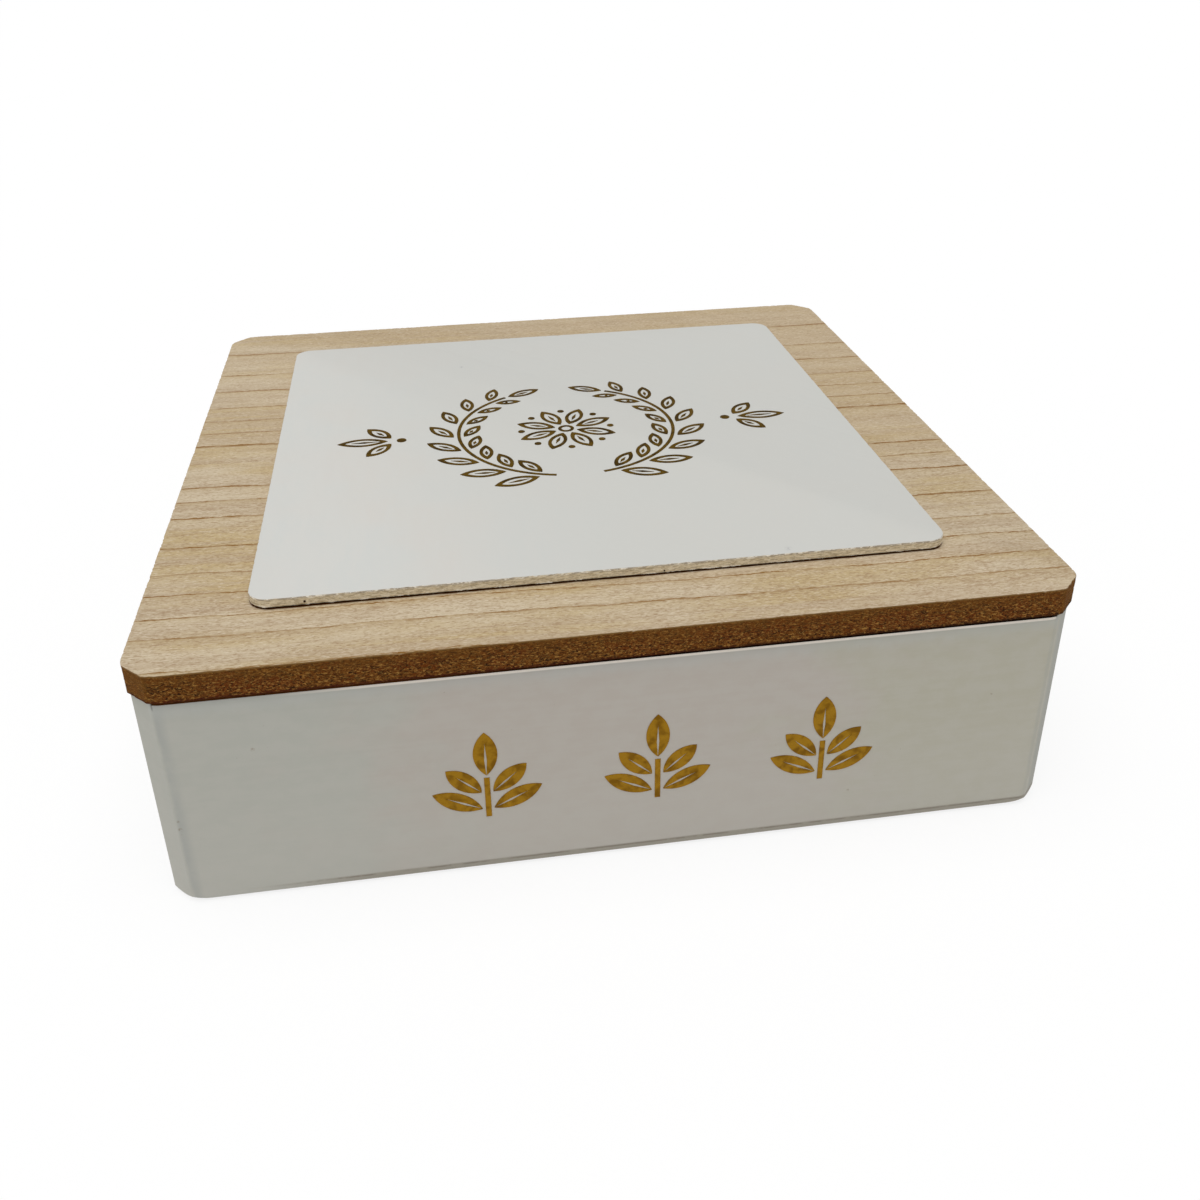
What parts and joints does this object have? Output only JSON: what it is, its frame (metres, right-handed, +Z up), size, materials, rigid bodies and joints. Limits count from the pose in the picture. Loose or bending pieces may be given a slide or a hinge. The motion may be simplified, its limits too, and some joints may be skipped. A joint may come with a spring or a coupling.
{
  "type": "tea bag organizer box",
  "caption": "Square painted box with a wood-veneered hinged lid, a raised plaque and inner compartments for tea bags.",
  "frame": {"origin": "on the table under the centre of the closed lid, level with the underside of the base", "axes": "+X to the right along the front, +Y from the front to the hinges at the back, +Z up"},
  "size_m": [0.24, 0.245, 0.075],
  "materials": {
    "outside_paint": "satin white paint on fibreboard, lightly brushed",
    "inside_paint": "matt white paint on fibreboard",
    "gold_foil": "satin gold foil with darker mottling",
    "raw_fibreboard": "raw cut fibreboard, dark brown and fibrous",
    "wood_veneer": "pale natural wood veneer, matt, fine grain along X",
    "adhesive_tape": "white double-sided cloth tape",
    "plaque_paint": "matt white paint on fibreboard, bare beige edges",
    "bronze_foil": "dark gold printed foil",
    "hinge_brass": "stamped brass-plated sheet, satin",
    "hinge_pin_brass": "drawn brass wire",
    "screw_brass": "bright brass-plated steel"
  },
  "bodies": {
    "box": {"base_panel": "inside_paint", "front_wall": "outside_paint", "rear_wall": "outside_paint", "left_wall": "outside_paint", "right_wall": "outside_paint", "front_divider": "inside_paint", "rear_divider": "inside_paint", "left_divider": "inside_paint", "right_divider": "inside_paint", "left_sprig": "gold_foil", "middle_sprig": "gold_foil", "right_sprig": "gold_foil", "left_hinge_box_leaf": "hinge_brass", "left_hinge_pin": "hinge_pin_brass", "left_hinge_box_screws": "screw_brass", "right_hinge_box_leaf": "hinge_brass", "right_hinge_pin": "hinge_pin_brass", "right_hinge_box_screws": "screw_brass"},
    "lid": {"lid_board": "raw_fibreboard", "lid_veneer": "wood_veneer", "plaque_tape": "adhesive_tape", "plaque": "plaque_paint", "plaque_ornament": "bronze_foil", "left_hinge_lid_leaf": "hinge_brass", "left_hinge_lid_screws": "screw_brass", "right_hinge_lid_leaf": "hinge_brass", "right_hinge_lid_screws": "screw_brass"}
  },
  "joints": [
    {"name": "lid_hinge", "type": "hinge", "parent": "box", "child": "lid", "pos_m": [0, 0.1219, 0.06325], "axis": [-1, 0, 0], "range_deg": [0, 100]}
  ]
}
